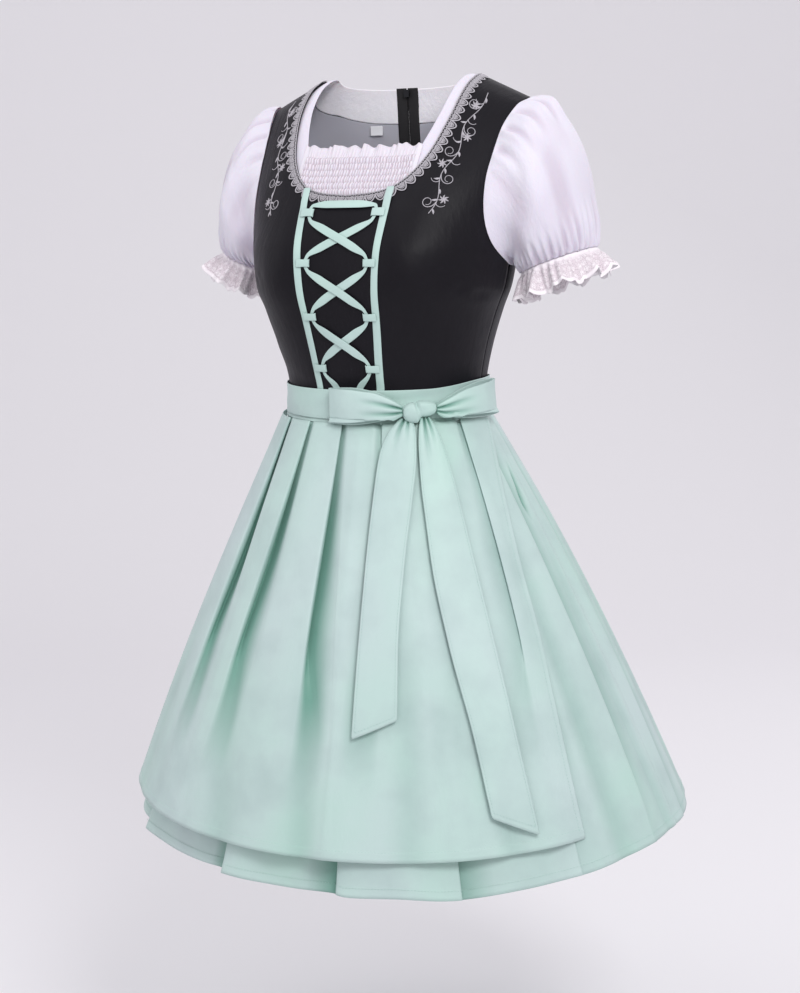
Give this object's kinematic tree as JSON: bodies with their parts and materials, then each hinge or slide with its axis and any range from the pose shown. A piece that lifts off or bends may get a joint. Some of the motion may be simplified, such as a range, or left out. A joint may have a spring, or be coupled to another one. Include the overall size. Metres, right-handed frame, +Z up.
{
  "type": "dirndl dress",
  "caption": "Dirndl dress on a hollow worn form: laced bodice, puff sleeves, pleated skirt, apron with waist tie and bow.",
  "frame": {"origin": "midway between the two shoulder high points, where the neck edge crosses the shoulder seams", "axes": "+Z up, the wearer faces -Y, and the wearer's left is +X"},
  "size_m": [0.677, 0.6036, 0.8845],
  "materials": {
    "black_satin": "soft satin",
    "mint_satin": "soft satin",
    "white_cotton": "plain crepe weave",
    "grey_lining": "plain lining",
    "silver_lace": "corded lace",
    "white_lace": "openwork lace",
    "black_tape": "woven tape",
    "dark_metal": "satin black",
    "white_label": "woven"
  },
  "bodies": {
    "dress": {"bodice_front_left": "black_satin", "bodice_front_right": "black_satin", "bodice_front_center": "black_satin", "bodice_back_left": "black_satin", "bodice_back_right": "black_satin", "lacing_tape_left": "mint_satin", "lacing_tape_right": "mint_satin", "lacing_loop_1_left": "mint_satin", "lacing_loop_1_right": "mint_satin", "lacing_loop_2_left": "mint_satin", "lacing_loop_2_right": "mint_satin", "lacing_loop_3_left": "mint_satin", "lacing_loop_3_right": "mint_satin", "lacing_loop_4_left": "mint_satin", "lacing_loop_4_right": "mint_satin", "lacing_ribbon": "mint_satin", "skirt_front": "mint_satin", "skirt_back_left": "mint_satin", "skirt_back_right": "mint_satin", "apron_skirt": "mint_satin", "apron_waistband": "mint_satin", "apron_tie": "mint_satin", "bow_loop_left": "mint_satin", "bow_loop_right": "mint_satin", "bow_knot": "mint_satin", "tie_tail_left": "mint_satin", "tie_tail_right": "mint_satin", "neck_facing_back_left": "white_cotton", "neck_facing_back_right": "white_cotton", "neck_band_left": "white_cotton", "neck_band_right": "white_cotton", "blouse_insert": "white_cotton", "sleeve_left": "white_cotton", "sleeve_right": "white_cotton", "lining_back_left": "grey_lining", "lining_back_right": "grey_lining", "neck_lace": "silver_lace", "cuff_frill_left": "white_lace", "cuff_frill_right": "white_lace", "zip_tape_left": "black_tape", "zip_tape_right": "black_tape", "zip_slider": "dark_metal", "size_label": "white_label"},
    "zip_pull": {"zip_pull_tab": "dark_metal"}
  },
  "joints": [
    {"name": "zip_pull_swing", "type": "hinge", "parent": "dress", "child": "zip_pull", "pos_m": [0, 0.01757, -0.0215], "axis": [1, 0, 0], "range_deg": [0, 170]}
  ]
}
